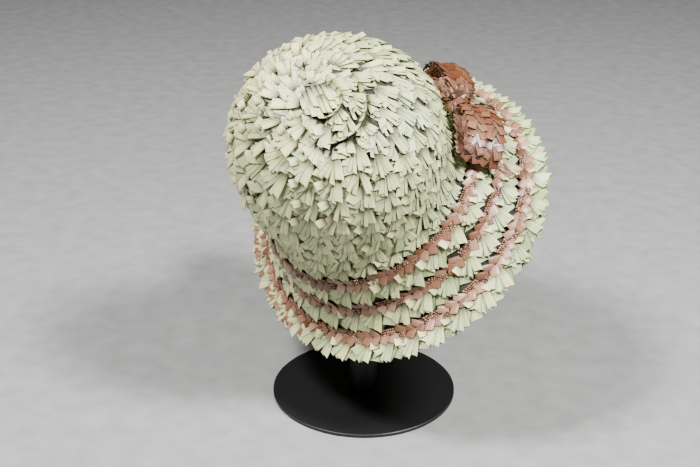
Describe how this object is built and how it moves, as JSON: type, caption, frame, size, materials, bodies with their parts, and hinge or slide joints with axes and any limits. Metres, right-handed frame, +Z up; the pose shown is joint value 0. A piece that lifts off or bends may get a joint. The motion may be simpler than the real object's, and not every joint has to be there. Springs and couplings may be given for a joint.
{
  "type": "poke bonnet on display stand",
  "caption": "Deep-crowned poke bonnet of sewn straw plait with a flared brim, contrasting plait bands and a looped bow, held tilted on a flat round stand with a post.",
  "frame": {"origin": "centre of the stand's underside", "axes": "+Z up along the post, -Y towards the side that the crown's tip and the low side of the brim face, +X towards the bow"},
  "size_m": [0.3179, 0.3411, 0.3997],
  "materials": {
    "straw": "pale sage green and cream split straw, satin",
    "copper_plait": "copper-brown folded plait, satin",
    "bow_plait": "copper-brown chevron plait, satin",
    "stand_black": "matt black powder coat",
    "cap_black": "black cloth over a soft core"
  },
  "bodies": {
    "root": {"crown_tip": "straw", "crown_dome": "straw", "crown_side": "straw", "brim_inner": "straw", "brim_middle": "straw", "brim_outer": "straw", "band_inner": "copper_plait", "band_middle": "copper_plait", "band_outer": "copper_plait", "band_rim": "copper_plait", "bow_upper_loop": "bow_plait", "bow_lower_loop": "bow_plait", "bow_knot": "bow_plait", "bow_tail_short": "copper_plait", "bow_tail_long": "copper_plait", "stand_base": "stand_black", "stand_post": "stand_black", "stand_cap": "cap_black"}
  },
  "joints": []
}
